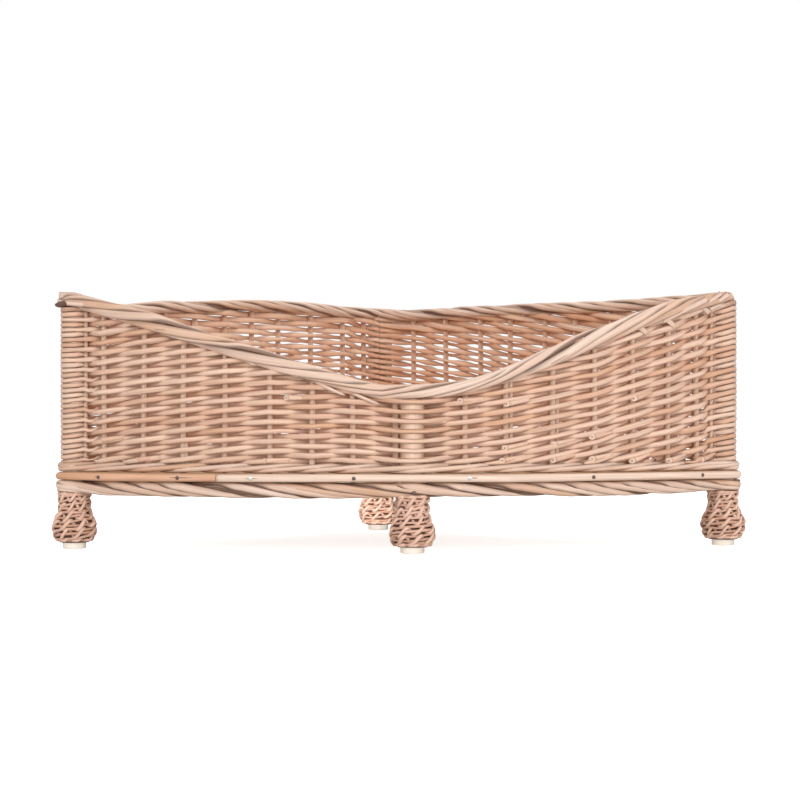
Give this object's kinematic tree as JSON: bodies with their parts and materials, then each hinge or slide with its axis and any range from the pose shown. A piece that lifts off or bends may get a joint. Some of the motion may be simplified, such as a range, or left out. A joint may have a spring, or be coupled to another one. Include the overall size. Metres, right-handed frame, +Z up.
{
  "type": "wicker pet bed",
  "caption": "Quarter-round corner basket for a small pet: straight back walls, a bowed front with a dipped way in, raised on woven feet.",
  "frame": {"origin": "on the floor, under the middle of the overall box", "axes": "+Z up, -Y towards the bowed front with the way in, +X to the right seen from the front"},
  "size_m": [0.6972, 0.4768, 0.257],
  "materials": {
    "willow": "peeled willow rod, satin",
    "pale_willow": "thick peeled willow rod, satin",
    "warm_willow": "half-round willow strip, satin",
    "foot_willow": "thin willow rod, close woven, satin",
    "dowel": "bare turned dowel, sanded",
    "base_board": "plywood, sanded"
  },
  "bodies": {
    "root": {"base_board": "base_board", "post_left": "dowel", "foot_wrap_left": "foot_willow", "post_front": "dowel", "foot_wrap_front": "foot_willow", "post_right": "dowel", "foot_wrap_right": "foot_willow", "post_back": "dowel", "foot_wrap_back": "foot_willow", "foot_border_front": "pale_willow", "wale_front": "willow", "siding_front": "willow", "rim_front": "pale_willow", "stake_front_01": "willow", "stake_front_02": "willow", "stake_front_03": "willow", "stake_front_04": "willow", "stake_front_05": "willow", "stake_front_06": "willow", "stake_front_07": "willow", "stake_front_08": "willow", "stake_front_09": "willow", "stake_front_10": "willow", "stake_front_11": "willow", "stake_front_12": "willow", "stake_front_13": "willow", "stake_front_14": "willow", "stake_front_15": "willow", "foot_border_back_right": "pale_willow", "wale_back_right": "willow", "siding_back_right": "willow", "rim_back_right": "pale_willow", "stake_back_right_01": "willow", "stake_back_right_02": "willow", "stake_back_right_03": "willow", "stake_back_right_04": "willow", "stake_back_right_05": "willow", "stake_back_right_06": "willow", "stake_back_right_07": "willow", "stake_back_right_08": "willow", "stake_back_right_09": "willow", "stake_back_right_10": "willow", "foot_border_back_left": "pale_willow", "wale_back_left": "willow", "siding_back_left": "willow", "rim_back_left": "pale_willow", "stake_back_left_01": "willow", "stake_back_left_02": "willow", "stake_back_left_03": "willow", "stake_back_left_04": "willow", "stake_back_left_05": "willow", "stake_back_left_06": "willow", "stake_back_left_07": "willow", "stake_back_left_08": "willow", "stake_back_left_09": "willow", "stake_back_left_10": "willow", "edge_strip_front_left": "warm_willow", "edge_strip_front_right": "pale_willow", "edge_strip_back_right": "warm_willow", "edge_strip_back_left": "warm_willow"}
  },
  "joints": []
}
